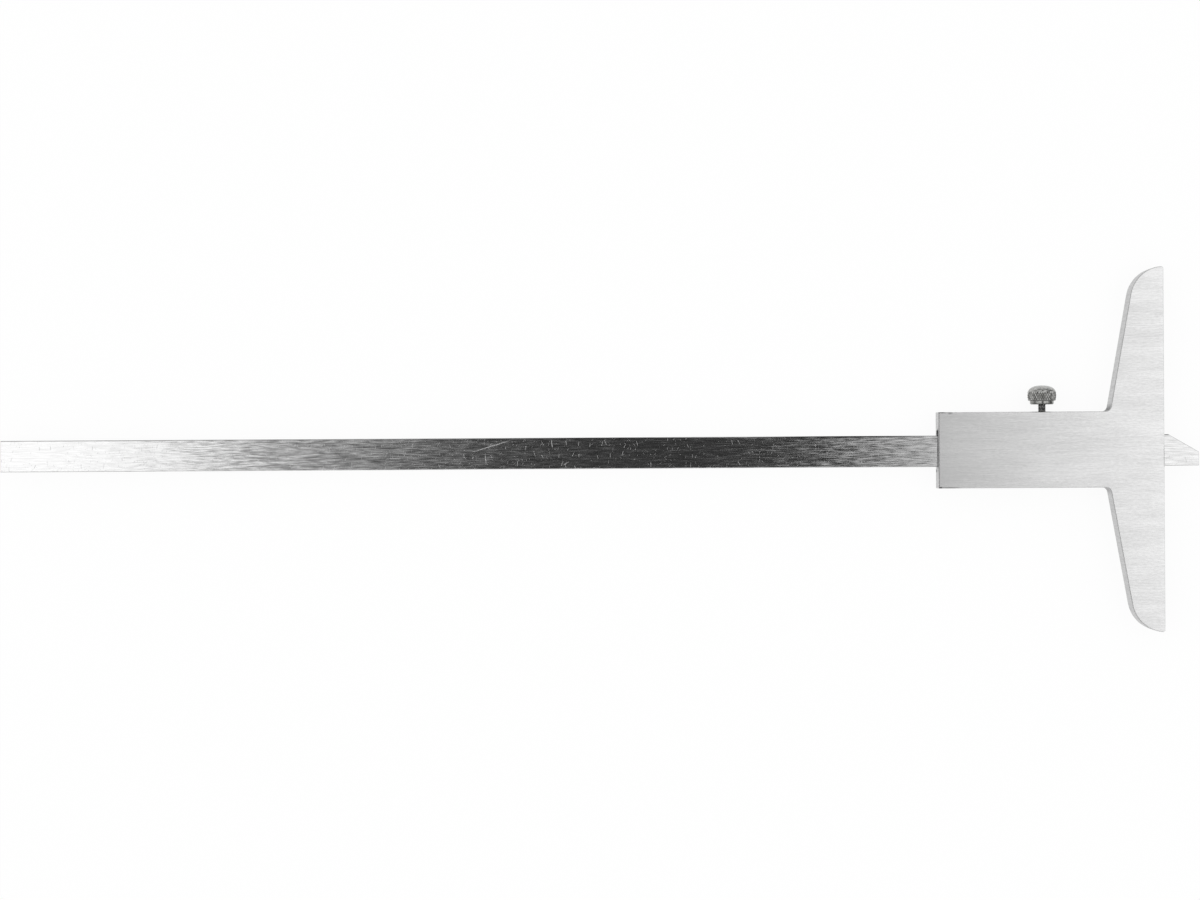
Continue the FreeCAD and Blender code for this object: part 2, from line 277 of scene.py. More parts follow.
def tinted(material, colour, amount, hexCode):
    # a colour that gives way to a second one as its amount goes from 0 to 1
    return addNode(material, "ShaderNodeMix", {
        "Factor": amount, "A": colour, "B": linearColour(hexCode),
    }, data_type="RGBA")


def grimed(material, coords, colour, paintedDarkColour, middle, half, black, turn=0.0):
    # a colour with an oval of painted shade over it
    paintedDark = addNode(material, "ShaderNodeMath", {
        0: spot(material, coords, middle, half, math.radians(turn)), 1: black,
    }, operation="MULTIPLY", use_clamp=True)
    return tinted(material, colour, paintedDark, paintedDarkColour)


def lookOf(material, pattern, finish):
    # colour and roughness that run together over a pattern's spread, from its dark to its light
    shade = addNode(material, "ShaderNodeMapRange", {
        "Value": pattern, "From Min": finish["spread"][0], "From Max": finish["spread"][1],
    })
    colour = addNode(material, "ShaderNodeMix", {
        "Factor": shade, "A": linearColour(finish["dark"]), "B": linearColour(finish["light"]),
    }, data_type="RGBA")
    rough = addNode(material, "ShaderNodeMix", {
        "Factor": shade, "A": finish["darkRough"], "B": finish["lightRough"],
    })
    return colour, rough


# Tool steel of the head and its front plate
headFinish = {
    "ground": {
        "dark": "#d8d8d8", "light": "#e7e7e7", "darkRough": 0.25, "lightRough": 0.2, "spread": (0.38, 0.62),
    },
    "lines": (8.0, 0.42, 0.42),  # mm: the real grinding lines are finer than a picture shows
    "grit": (1.5, 0.36, 0.36),
    "gritShare": 0.56,
    "clouds": (25.0, 5.0, 5.0),
    "cloudShare": 0.3,
    "deep": 0.0015,
    "brushed": 0.4,
    # milled sides: rougher with cutter marks, and a darker colour that is painted shade
    "milledShaded": {
        "dark": "#b6b6b6", "light": "#c3c3c3", "darkRough": 0.42, "lightRough": 0.34, "spread": (0.3, 0.7),
    },
    "cutterMarks": (0.5, 0.5, 6.0),
    "sideTilt": (0.62, 0.7),  # how upright a normal is where milled turns to ground: broken edges are ground
    # the colour that the painted shade ovals and lines darken towards
    "paintedShadeColour": "#161615",
    "paintedShade": [  # painted shade on the sides, in the arms' roots and round the beam's channel and slot at the head's end: middle and half size in mm, and how black it is
        ((-18.5, 13.2, 1.0), (2.6, 2.2, 14.0), 1.35),
        ((-18.5, -13.2, 0.0), (2.4, 1.9, 16.0), 0.6),
        ((-74.0, -0.4, 2.2), (2.4, 8.6, 1.9), 1.9),
        ((-73.6, 5.6, 1.2), (3.0, 1.3, 4.0), 2.6),
        ((-74.0, -6.8, -2.4), (0.5, 0.7, 2.4), 1.6),
    ],
    "edgePaintedShade": [  # the same, as painted dark reflections along the broken edges at the head's end
        ((-73.9, 0.0, 3.9), (0.4, 30.0, 0.6), 0.4),
        ((-72.9, 12.4, 3.9), (2.2, 0.4, 0.6), 0.9),
        ((-70.2, 12.2, 3.9), (1.1, 0.5, 0.6), 0.7),
        ((-70.5, -12.4, 3.9), (5.0, 0.4, 0.6), 0.8),
        ((-73.4, -12.4, 3.9), (0.8, 0.6, 0.6), 1.2),
    ],
}


def groundSteel():
    # Faces surface-ground: bright and satin with fine straight lines. Sides milled: dull, and greyer with
    # painted shade
    values = headFinish
    metal, coords = startMaterial("groundSteel")
    lines = grain(metal, coords, values["lines"], fineDetail)
    grit = grain(metal, coords, values["grit"])
    fine = addNode(metal, "ShaderNodeMix", {"Factor": values["gritShare"], "A": lines, "B": grit})
    clouds = grain(metal, coords, values["clouds"])
    tone = addNode(metal, "ShaderNodeMix", {"Factor": values["cloudShare"], "A": fine, "B": clouds})
    faceColour, faceRough = lookOf(metal, tone, values["ground"])
    marks = grain(metal, coords, values["cutterMarks"])
    shadedSideColour, sideRough = lookOf(metal, marks, values["milledShaded"])
    # painted shade ovals darken the sides in the arms' roots and round the channel's mouth
    for oval in values["paintedShade"]:
        shadedSideColour = grimed(metal, coords, shadedSideColour, values["paintedShadeColour"], *oval)
    normal = addNode(metal, "ShaderNodeTexCoord").outputs["Normal"]
    upright = addNode(metal, "ShaderNodeSeparateXYZ", {0: normal}).outputs["Z"]
    tilt = addNode(metal, "ShaderNodeMath", {0: upright}, operation="ABSOLUTE")
    isFace = addNode(metal, "ShaderNodeMapRange", {
        "Value": tilt, "From Min": values["sideTilt"][0], "From Max": values["sideTilt"][1],
    })
    colour = addNode(metal, "ShaderNodeMix", {
        "Factor": isFace, "A": shadedSideColour, "B": faceColour,
    }, data_type="RGBA")
    # painted dark reflections along the broken edges at the head's end
    for oval in values["edgePaintedShade"]:
        colour = grimed(metal, coords, colour, values["paintedShadeColour"], *oval)
    return closeMaterial(metal, lines, values["deep"], {
        "Base Color": colour,
        "Roughness": addNode(metal, "ShaderNodeMix", {"Factor": isFace, "A": sideRough, "B": faceRough}),
        "Anisotropic": values["brushed"],
        # the tangent spreads a reflection across the lines
        "Tangent": addNode(metal, "ShaderNodeCombineXYZ", {"Y": 1.0}),
    })


# Hardened stainless strip of the beam
beamFinish = {
    "brushing": {
        "dark": "#cecece", "light": "#e1e1e1", "darkRough": 0.07, "lightRough": 0.18, "spread": (0.34, 0.66),
    },
    "strokes": (5.0, 0.36, 0.36),  # mm: drawn coarser than the real brushing, so that it shows
    "streaks": (24.0, 0.8, 0.8),
    "streakShare": 0.3,
    "deep": 0.03,
    "leans": (4.2, 0.37, 0.37),
    "lean": 0.042,  # how far the strokes lean along the beam, each its own way
    "brushed": 0.7,
    "scratches": [  # on the back: middle in mm, half length, turn in degrees, and roughness
        ((-220.7, 2.2), 8.6, 16.6, 0.5),
        ((-196.2, -3.6), 1.6, 30.0, 0.4),
        ((-200.8, 2.9), 1.8, 97.0, 0.5),
        ((-222.6, -2.0), 2.4, 95.0, 0.4),
    ],
    "scratchWide": 0.34,
    "scratchCore": 0.5,  # how far in from its rim a scratch is at its clearest
    "chips": (1.6, 0.6, 0.6),  # specks along the lower edge, where it has been knocked
    "chipCrowd": (40.0, 40.0, 40.0),
    "chipSpread": (0.5, 0.62),
    "chipCrowdSpread": (0.35, 0.6),
    "chipBand": 0.6,
    "chipRough": 0.6,
    "nickSpread": (0.4, 0.6),
    "paintedShadeColour": "#161615",
    "paintedShade": [  # painted dark reflection along the upper edge and the tip's bevel: middle and half size in mm, how black it is, and its turn
        ((-104.0, 5.0, 1.7), (36.0, 0.9, 2.0), 1.6),
        ((-190.0, 5.0, 1.7), (70.0, 0.7, 2.0), 1.2),
        ((-320.0, 5.0, 1.7), (160.0, 0.6, 2.0), 0.8),
        ((0.9, 5.0, 1.7), (2.2, 0.6, 2.0), 1.2),
        ((7.2, 2.0, 1.7), (8.4, 0.5, 2.0), 0.7, -30.0),
    ],
}

# Small marks that use has left on the beam: the mm between them, the longest and the width as
# shares of that, the spread of their turns in degrees, their roughness and the mm over which they crowd
nickSets = {
    "clear": {
        "cell": 3.4, "long": 0.5, "wide": 0.032, "turns": (60, 120), "rough": 0.6, "crowd": (80, 40, 40),
    },
    "faint": {
        "cell": 1.5, "long": 0.7, "wide": 0.06, "turns": (40, 150), "rough": 0.36, "crowd": (35, 9, 9),
    },
}


def nicks(metal, coords, values):
    # one short mark in each cell, mostly across the beam, each with its own turn and length
    scaled = addNode(metal, "ShaderNodeMapping", {
        "Vector": coords, "Scale": [1 / (values["cell"] * mm)] * 3,
    })
    cells = addNode(metal, "ShaderNodeTexVoronoi", {
        "Vector": scaled, "Scale": 1.0,
    }, voronoi_dimensions="2D").outputs
    chance = addNode(metal, "ShaderNodeSeparateColor", {0: cells["Color"]}).outputs
    local = addNode(metal, "ShaderNodeVectorMath", {0: scaled, 1: cells["Position"]}, operation="SUBTRACT")
    low, high = [math.radians(degrees) for degrees in values["turns"]]
    turn = addNode(metal, "ShaderNodeMapRange", {"Value": chance["Red"], "To Min": low, "To Max": high})
    turned = addNode(metal, "ShaderNodeVectorRotate", {
        "Vector": local, "Angle": turn,
    }, rotation_type="Z_AXIS")
    sized = addNode(metal, "ShaderNodeVectorMath", {0: turned}, operation="ABSOLUTE")
    axes = addNode(metal, "ShaderNodeSeparateXYZ", {0: sized}).outputs
    reach = addNode(metal, "ShaderNodeMath", {
        0: chance["Green"], 1: values["long"] / 2,
    }, operation="MULTIPLY")
    along = addNode(metal, "ShaderNodeMath", {0: axes["X"], 1: reach}, operation="LESS_THAN")
    across = addNode(metal, "ShaderNodeMath", {0: axes["Y"], 1: values["wide"] / 2}, operation="LESS_THAN")
    crowd = addNode(metal, "ShaderNodeMapRange", {
        "Value": grain(metal, coords, values["crowd"]),
        "From Min": beamFinish["nickSpread"][0], "From Max": beamFinish["nickSpread"][1],
    })
    present = addNode(metal, "ShaderNodeMath", {0: chance["Blue"], 1: crowd}, operation="LESS_THAN")
    mark = addNode(metal, "ShaderNodeMath", {0: along, 1: across}, operation="MULTIPLY")
    shown = addNode(metal, "ShaderNodeMath", {0: mark, 1: present}, operation="MULTIPLY")
    return addNode(metal, "ShaderNodeMath", {0: shown, 1: values["rough"]}, operation="MULTIPLY")


def scratch(metal, coords, middle, halfLong, turn, rough):
    # a straight scratch on the beam's back, tapered to its ends
    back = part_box("beam")[1].z / mm
    half = (halfLong, beamFinish["scratchWide"] / 2, back)
    line = spot(metal, coords, (*middle, back), half, math.radians(turn))
    return addNode(metal, "ShaderNodeMapRange", {
        "Value": line, "From Max": beamFinish["scratchCore"], "To Max": rough,
    })


def chips(metal, coords):
    # bright specks close to the beam's lower edge
    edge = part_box("beam")[0].y
    close = addNode(metal, "ShaderNodeMapRange", {
        "Value": addNode(metal, "ShaderNodeSeparateXYZ", {0: coords}).outputs["Y"],
        "From Min": edge + beamFinish["chipBand"] * mm,
        "From Max": edge,
    })
    specks = addNode(metal, "ShaderNodeMapRange", {
        "Value": grain(metal, coords, beamFinish["chips"]),
        "From Min": beamFinish["chipSpread"][0], "From Max": beamFinish["chipSpread"][1],
    })
    crowd = addNode(metal, "ShaderNodeMapRange", {
        "Value": grain(metal, coords, beamFinish["chipCrowd"]),
        "From Min": beamFinish["chipCrowdSpread"][0], "From Max": beamFinish["chipCrowdSpread"][1],
        "To Max": beamFinish["chipRough"],
    })
    mark = addNode(metal, "ShaderNodeMath", {0: close, 1: specks}, operation="MULTIPLY")
    return addNode(metal, "ShaderNodeMath", {0: mark, 1: crowd}, operation="MULTIPLY")


def brushedBeamSteel():
    # Brushed lengthways: mirrors the room as a soft gradient, streaked, with rougher marks from use and a
    # painted dark reflection along its upper edge
    values = beamFinish
    metal, coords = startMaterial("brushedBeamSteel")
    strokes = grain(metal, coords, values["strokes"], fineDetail)
    streaks = grain(metal, coords, values["streaks"])
    tone = addNode(metal, "ShaderNodeMix", {"Factor": values["streakShare"], "A": strokes, "B": streaks})
    colour, rough = lookOf(metal, tone, values["brushing"])
    marks = [nicks(metal, coords, kind) for kind in nickSets.values()]
    marks += [scratch(metal, coords, *line) for line in values["scratches"]]
    for mark in marks + [chips(metal, coords)]:
        rough = addNode(metal, "ShaderNodeMath", {0: rough, 1: mark}, operation="MAXIMUM")
    # painted dark reflection along the upper edge and the tip's bevel
    for oval in values["paintedShade"]:
        colour = grimed(metal, coords, colour, values["paintedShadeColour"], *oval)
    lean = addNode(metal, "ShaderNodeMapRange", {
        "Value": grain(metal, coords, values["leans"], fineDetail),
        "To Min": -values["lean"], "To Max": values["lean"],
    })
    return closeMaterial(metal, tone, values["deep"], {
        "Base Color": colour,
        "Roughness": rough,
        "Anisotropic": values["brushed"],
        "Tangent": addNode(metal, "ShaderNodeCombineXYZ", {"Y": 1.0}),
    }, lean)


vernierFinish = {
    "satin": {
        "dark": "#d4d4d2", "light": "#e2e2e0", "darkRough": 0.46, "lightRough": 0.38, "spread": (0.3, 0.7),
    },
    "grain": (0.25, 0.25, 0.25),
    "deep": 0.003,
}


def satinVernierSteel():
    # Satin chrome on fine blasted steel: even and glare-free, so that the lines read well
    metal, coords = startMaterial("satinVernierSteel")
    blasted = grain(metal, coords, vernierFinish["grain"], fineDetail)
    colour, rough = lookOf(metal, blasted, vernierFinish["satin"])
    return closeMaterial(metal, blasted, vernierFinish["deep"], {"Base Color": colour, "Roughness": rough})


# Lathe-turned metals: the mm from ring to ring, and how deep a ring is cut
turnedFinishes = {
    "turnedScrewSteel": {
        "look": {
            "dark": "#a0a09e", "light": "#c6c6c4",
            "darkRough": 0.34, "lightRough": 0.24, "spread": (0.3, 0.7),
        },
        "ringGap": 0.2, "deep": 0.008, "wear": 0.7,
        "slotPaintedShade": 0.75, "slotPaintedShadeDeep": (0.05, 0.35),  # painted shade lies in the slot, mm under the screw's end
    },
    "nickelledKnob": {
        "look": {
            "dark": "#aeaeac", "light": "#e0e0dd",
            "darkRough": 0.26, "lightRough": 0.12, "spread": (0.35, 0.65),
        },
        "ringGap": 0.3, "deep": 0.01, "wear": 0.6,
    },
    "turnedBrass": {
        "look": {
            "dark": "#c9a25c", "light": "#dcb976",
            "darkRough": 0.34, "lightRough": 0.22, "spread": (0.3, 0.7),
        },
        "ringGap": 0.14, "deep": 0.004, "wear": 0.7,
    },
}


def turnedMetal(kind, name, axis):
    # Turned on a lathe: fine rings round the axis catch the light, unevenly worn
    values = turnedFinishes[kind]
    metal, coords = startMaterial(kind)
    low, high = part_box(name)
    centred = addNode(metal, "ShaderNodeMapping", {"Vector": coords, "Location": -(low + high) / 2})
    # one ring of the wave texture is a tenth of pi wide at a scale of 1
    rings = addNode(metal, "ShaderNodeTexWave", {
        "Vector": centred, "Scale": math.pi / 10 / (values["ringGap"] * mm), "Distortion": 0.0,
    }, wave_type="RINGS", rings_direction=axis).outputs["Fac"]
    wear = grain(metal, coords, [values["wear"]] * 3, fineDetail)
    colour, rough = lookOf(metal, wear, values["look"])
    if kind == "nickelledKnob":
        # painted shade lies in the knurl's valleys, and thinly on the dome and the step
        paintedDark = addNode(metal, "ShaderNodeAttribute", attribute_name="paintedShade").outputs["Fac"]
        colour = tinted(metal, colour, paintedDark, knobSet["paintedShadeColour"])
    if kind == "turnedScrewSteel":
        # the set screws are slotted at their upper end, the others at the front
        end, inward = (high.y, -mm) if axis == "Y" else (low.z, mm)
        slotTop, slotFoot = [end + inward * deep for deep in values["slotPaintedShadeDeep"]]
        # painted shade down in the slot, from just under the screw's end inwards
        paintedDark = addNode(metal, "ShaderNodeMapRange", {
            "Value": addNode(metal, "ShaderNodeSeparateXYZ", {0: coords}).outputs[axis],
            "From Min": slotTop, "From Max": slotFoot, "To Max": values["slotPaintedShade"],
        })
        colour = tinted(metal, colour, paintedDark, knobSet["paintedShadeColour"])
    return closeMaterial(metal, rings, values["deep"], {"Base Color": colour, "Roughness": rough})


oxideFinish = {
    "black": {
        "dark": "#262628", "light": "#58585a", "darkRough": 0.45, "lightRough": 0.28, "spread": (0.3, 0.7),
    },
    "rubbed": "#b4b4b2",
    "rubbedSpread": (0.4, 0.6),
    "grain": (0.3, 0.3, 0.3),
    "deep": 0.004,
}


def blackOxide():
    # Oil-blackened steel: near black with a low sheen, the thread's crests rubbed grey
    metal, coords = startMaterial("blackOxide")
    specks = grain(metal, coords, oxideFinish["grain"], fineDetail)
    colour, rough = lookOf(metal, specks, oxideFinish["black"])
    crest = addNode(metal, "ShaderNodeAttribute", attribute_name="crest").outputs["Fac"]
    worn = addNode(metal, "ShaderNodeMapRange", {
        "Value": specks,
        "From Min": oxideFinish["rubbedSpread"][0], "From Max": oxideFinish["rubbedSpread"][1],
        "To Max": crest,
    })
    rubbed = tinted(metal, colour, worn, oxideFinish["rubbed"])
    return closeMaterial(metal, specks, oxideFinish["deep"], {"Base Color": rubbed, "Roughness": rough})


bronzeFinish = {
    "rolled": {
        "dark": "#b08a5a", "light": "#cfa873", "darkRough": 0.38, "lightRough": 0.26, "spread": (0.3, 0.7),
    },
    "lines": (6.0, 0.25, 0.25),
    "deep": 0.003,
    "mouthShade": "#1c1814",  # painted shade at the end that shows in the channel's mouth
    "mouthShadeHalf": (4.0, 4.0, 8.0),
}


def rolledBronze():
    # Cold-rolled phosphor bronze strip: warm and satin, with the roll's lines along it, and painted shade on
    # its end in the channel's mouth
    metal, coords = startMaterial("rolledBronze")
    lines = grain(metal, coords, bronzeFinish["lines"], fineDetail)
    colour, rough = lookOf(metal, lines, bronzeFinish["rolled"])
    low, high = [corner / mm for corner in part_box("gib_strip")]
    # painted shade on the strip's end, where it shows in the channel's mouth
    mouthShade = spot(metal, coords, (low.x, (low.y + high.y) / 2, 0), bronzeFinish["mouthShadeHalf"])
    mouthShaded = tinted(metal, colour, mouthShade, bronzeFinish["mouthShade"])
    return closeMaterial(metal, lines, bronzeFinish["deep"], {"Base Color": mouthShaded, "Roughness": rough})


paintFinish = {
    "matt": {
        "dark": "#0c0c0d", "light": "#1f1f21", "darkRough": 0.65, "lightRough": 0.5, "spread": (0.3, 0.7),
    },
    "grain": (0.2, 0.2, 0.2),
    "deep": 0.001,
}


def engravingPaint():
    # Matt black lacquer wiped into the engraved lines: dull and slightly uneven
    paint, coords = startMaterial("engravingPaint")
    mottle = grain(paint, coords, paintFinish["grain"])
    colour, rough = lookOf(paint, mottle, paintFinish["matt"])
    return closeMaterial(paint, mottle, paintFinish["deep"], {
        "Base Color": colour, "Roughness": rough, "Metallic": 0.0,
    })


def finishPiece(name, shape, metal, body):
    # a finished bmesh as a piece with its finish, riding on a body
    mesh = bpy.data.meshes.new(name)
    shape.to_mesh(mesh)
    shape.free()
    mesh.materials.append(metal)
    piece = bpy.data.objects.new(name, mesh)
    scene.collection.objects.link(piece)
    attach(piece, body)
    return piece


# Lock knob: a turned step, a diamond-knurled band and a smooth dome
knobSet = {
    "stepWide": 7.8, "stepHigh": 1.15, "stepRound": 0.45,
    "underRound": 0.45, "roundSteps": 4,
    "widest": 1.86,  # height above the step of the knob's widest place
    "barrel": 3.7,  # half height of the oval that its side follows below that
    "power": 2.5,  # 2 is an ellipse, and more is flatter on top with fuller shoulders
    "domeSteps": 14,
    "bore": 2.54, "boreDeep": 2.9,
    "ridges": 34,  # knurl points round it: the real 46 are finer than a picture shows
    "rows": 3,  # rows of half a diamond each, from the round below upwards
    "rowHigh": 0.76,
    "knurlDeep": 0.3,
    "crest": 0.07,  # the knurl's blunted points
    # painted shade on the knob: its colour, then how dark it is in each place
    "paintedShadeColour": "#242422",
    "valleyPaintedShade": 0.7,  # how black the painted shade in the knurl's valleys is, from 0 to 1
    "domePaintedShade": 0.32,
    "stepPaintedShade": 0.55,
    "peakPaintedShade": 0.0,  # on the knurl's points, where there is no painted shade
    "sharp": 28.0,  # degrees: an edge that turns more stays crisp
}


def arcPoints(centre, radius, start, end, steps):
    # points along an arc, drawn as (radius, height), both ends included
    turns = [start + (end - start) * i / steps for i in range(steps + 1)]
    return [(centre[0] + radius * math.cos(t), centre[1] + radius * math.sin(t)) for t in turns]


def knobRadius(height, radius, crown):
    # the radius of the knob's side at a height above its step, on one oval up to its widest place
    # and on another, crown mm high, from there
    values = knobSet
    above = height - values["widest"]
    share = above / crown if above > 0 else -above / values["barrel"]
    return radius * (1 - share ** values["power"]) ** (1 / values["power"])


def knobProfile():
    # half outline from the bore's end on the axis, round below, to the dome's top on the axis
    values = knobSet
    low, high = [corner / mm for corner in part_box("lock_knob")]
    radius, top = (high.x - low.x) / 2, high.y - low.y
    step, bore = values["stepWide"] / 2, values["bore"] / 2
    quarter = math.pi / 2
    stepTop, small, under = values["stepHigh"], values["stepRound"], values["underRound"]
    centre = stepTop + values["widest"]
    crown = top - centre
    points = [(0, values["boreDeep"]), (bore, values["boreDeep"]), (bore, 0)]
    points += arcPoints((step - small, small), small, -quarter, 0, values["roundSteps"])
    points += [(step, stepTop)]
    lowest = knobRadius(under, radius, crown)
    points += arcPoints((lowest - under, stepTop + under), under, -quarter, 0, values["roundSteps"])[:-1]
    heights = [under + values["rowHigh"] * row for row in range(values["rows"] + 1)]
    rows = [(knobRadius(height, radius, crown), stepTop + height) for height in heights]
    points += rows
    # the knurl ends a little way up the oval, and the dome is the rest of it
    start = math.asin(((rows[-1][1] - centre) / crown) ** (values["power"] / 2))
    for i in range(1, values["domeSteps"]):
        turn = start + (quarter - start) * i / values["domeSteps"]
        around = radius * math.cos(turn) ** (2 / values["power"])
        points.append((around, centre + crown * math.sin(turn) ** (2 / values["power"])))
    points.append((0, top))
    return points, rows


def turnedShape(points, steps):
    # a closed shape spun round the Y axis from a half outline whose ends lie on the axis
    shape = bmesh.new()
    verts = [shape.verts.new((r * mm, h * mm, 0)) for r, h in points]
    edges = [shape.edges.new(pair) for pair in zip(verts, verts[1:])]
    bmesh.ops.spin(
        shape, geom=verts + edges, cent=(0, 0, 0), axis=(0, 1, 0), dvec=(0, 0, 0),
        angle=2 * math.pi, steps=steps, use_merge=True,
    )
    bmesh.ops.remove_doubles(shape, verts=shape.verts, dist=samePlace * mm)
    bmesh.ops.recalc_face_normals(shape, faces=shape.faces)
    return shape


def knurledKnob(metal):
    points, rows = knobProfile()
    columns = knobSet["ridges"] * 2
    shape = turnedShape(points, columns)
    paintedShade = shape.verts.layers.float.new("paintedShade")
    rowLow = rows[0][1] * mm
    peaks, valleys = [], []
    for vert in shape.verts:
        around = math.hypot(vert.co.x, vert.co.z) / mm
        for row, (radius, height) in enumerate(rows):
            if max(abs(around - radius), abs(vert.co.y / mm - height)) < samePlace:
                column = round(math.atan2(vert.co.z, vert.co.x) / (2 * math.pi) * columns)
                (valleys if (column + row) % 2 else peaks).append(vert)
    inward = 1 - knobSet["knurlDeep"] / rows[0][0]
    bmesh.ops.scale(shape, vec=(inward, 1, inward), verts=valleys)
    # painted shade: dark in the knurl's valleys, thinner on the dome and the step, none on the points
    for vert in shape.verts:
        onDome = vert.co.y > rows[-1][1] * mm
        vert[paintedShade] = knobSet["domePaintedShade"] if onDome else knobSet["stepPaintedShade"]
    for vert in peaks:
        vert[paintedShade] = knobSet["peakPaintedShade"]
    for vert in valleys:
        vert[paintedShade] = knobSet["valleyPaintedShade"]
    # the grooves run from valley to valley, which leaves a four-sided point at each peak
    bmesh.ops.connect_verts(shape, verts=valleys)
    bmesh.ops.bevel(
        shape, geom=peaks, offset=knobSet["crest"] * mm, affect="VERTICES",
        segments=1, profile=0.5, material=-1,
    )
    knurlLow, knurlHigh = rowLow - samePlace * mm, (rows[-1][1] + samePlace) * mm
    for face in shape.faces:
        face.smooth = not all(knurlLow < vert.co.y < knurlHigh for vert in face.verts)
    low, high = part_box("lock_knob")
    place = Vector(((low.x + high.x) / 2, low.y, (low.z + high.z) / 2))
    bmesh.ops.translate(shape, vec=place, verts=shape.verts)
    piece = finishPiece("knurled_knob", shape, metal, "lock_screw")
    piece.data.set_sharp_from_angle(angle=math.radians(knobSet["sharp"]))
    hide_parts("lock_knob")


# M2.5 lock stud with a real thread
studSet = {
    "pitch": 0.45,
    "threadDeep": 0.18,
    "crestShare": 0.3,  # of the pitch, flat on the crests
    "steps": 28,  # round one turn
    "spareTurns": 2,  # made past either end and cut off
    "sharp": 35.0,
}


def threadedStud(metal):
    low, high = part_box("lock_stud")
    middle = (low + high) / 2
    radius, pitch = (high.x - low.x) / 2, studSet["pitch"] * mm
    root, crest = radius - studSet["threadDeep"] * mm, pitch * studSet["crestShare"] / 2
    spare = studSet["spareTurns"]
    turns = math.ceil((high.y - low.y) / pitch) + spare + 1
    start = low.y - spare * pitch
    shape = bmesh.new()
    section = [(root, 0), (radius, pitch / 2 - crest), (radius, pitch / 2 + crest), (root, pitch)]
    verts = [shape.verts.new((r, start + h, 0)) for r, h in section]
    edges = [shape.edges.new(pair) for pair in zip(verts, verts[1:])]
    bmesh.ops.spin(
        shape, geom=verts + edges, cent=(0, 0, 0), axis=(0, 1, 0),
        dvec=(0, pitch / studSet["steps"], 0), angle=2 * math.pi * turns, steps=studSet["steps"] * turns,
    )
    bmesh.ops.remove_doubles(shape, verts=shape.verts, dist=samePlace * mm)
    for height, up in ((low.y, -1), (high.y, 1)):
        bmesh.ops.bisect_plane(
            shape, geom=shape.verts[:] + shape.edges[:] + shape.faces[:],
            plane_co=(0, height, 0), plane_no=(0, up, 0), clear_outer=True,
        )
    bmesh.ops.holes_fill(shape, edges=[edge for edge in shape.edges if edge.is_boundary])
    bmesh.ops.recalc_face_normals(shape, faces=shape.faces)
    onCrest = shape.verts.layers.float.new("crest")
    for vert in shape.verts:
        vert[onCrest] = (math.hypot(vert.co.x, vert.co.z) - root) / (radius - root)
    bmesh.ops.translate(shape, vec=(middle.x, 0, middle.z), verts=shape.verts)
    for face in shape.faces:
        face.smooth = True
    piece = finishPiece("threaded_stud", shape, metal, "lock_screw")
    piece.data.set_sharp_from_angle(angle=math.radians(studSet["sharp"]))
    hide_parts("lock_stud")


# Graduations on the front, in mm: engraved and filled black
scaleSet = {
    "vernierZero": 14.0,  # from the measuring face
    "reach": 350,  # lines on the beam: 300 and the vernier's 49 more
    "numbered": 300,
    "lineWide": 0.12,
    "proud": 0.012,
    "lineLow": -2.6,  # the beam's lines run from here
    "lineHigh": {1: 0.2, 5: 1.0, 10: 1.6},  # to here, for each of these steps
    "figureLow": 1.85, "figureHigh": 1.4,
    "figureStep": 0.78,  # from figure to figure, as a share of their height
    "curveSteps": 3,  # in each curve of a figure
    "figureEach": 10,  # lines from one number to the next
    "vernierParts": 50, "vernierSpan": 49.0,
    "vernierLine": {1: 1.0, 5: 1.5, 10: 1.9},  # up the slope
    "vernierFigureGap": 0.35,
    "vernierFigureEach": 5,
    "vernierEdge": 0.25,  # thickness of the vernier's thin edge
}


def figureShapes(high):
    # each figure once, as a thin mesh of that height, standing on its base line
    shapes = {}
    for figure in "0123456789":
        text = bpy.data.curves.new("figure", "FONT")
        text.body = figure
        text.align_x = "CENTER"
        text.resolution_u = scaleSet["curveSteps"]
        text.extrude = 0.5  # to either side, so 1 in all
        holder = bpy.data.objects.new("figure", text)
        scene.collection.objects.link(holder)
        bpy.context.view_layer.update()
        mesh = bpy.data.meshes.new_from_object(holder.evaluated_get(bpy.context.evaluated_depsgraph_get()))
        bpy.data.objects.remove(holder)
        top = max(vert.co.y for vert in mesh.vertices)
        base = min(vert.co.y for vert in mesh.vertices)
        scale = high / (top - base)
        size = Matrix.Diagonal((scale, scale, scaleSet["proud"], 1))
        mesh.transform(size @ Matrix.Translation((0, -base, 0)))
        shapes[figure] = mesh
    return shapes


def stampFigures(shape, shapes, number, high, place):
    # a number centred on its place, which is a matrix in mm
    advance = high * scaleSet["figureStep"]
    text = str(number)
    for i, figure in enumerate(text):
        before = len(shape.verts)
        shape.from_mesh(shapes[figure])
        shape.verts.ensure_lookup_table()
        along = (i - (len(text) - 1) / 2) * advance
        bmesh.ops.transform(
            shape, matrix=place @ Matrix.Translation((along, 0, 0)), verts=shape.verts[before:]
        )


def stampLine(shape, place, low, high):
    # a line from low to high along a place's Y axis, in mm
    size = Matrix.Diagonal((scaleSet["lineWide"], high - low, scaleSet["proud"], 1))
    middle = Matrix.Translation((0, (low + high) / 2, 0))
    bmesh.ops.create_cube(shape, size=1.0, matrix=place @ middle @ size)


def stepOf(number, steps):
    # the largest step that a line's number falls on
    return max(step for step in steps if number % step == 0)


def finishScale(name, shape, metal, body):
    bmesh.ops.remove_doubles(shape, verts=shape.verts, dist=samePlace)
    bmesh.ops.recalc_face_normals(shape, faces=shape.faces)
    bmesh.ops.scale(shape, vec=(mm, mm, mm), verts=shape.verts)
    finishPiece(name, shape, metal, body)


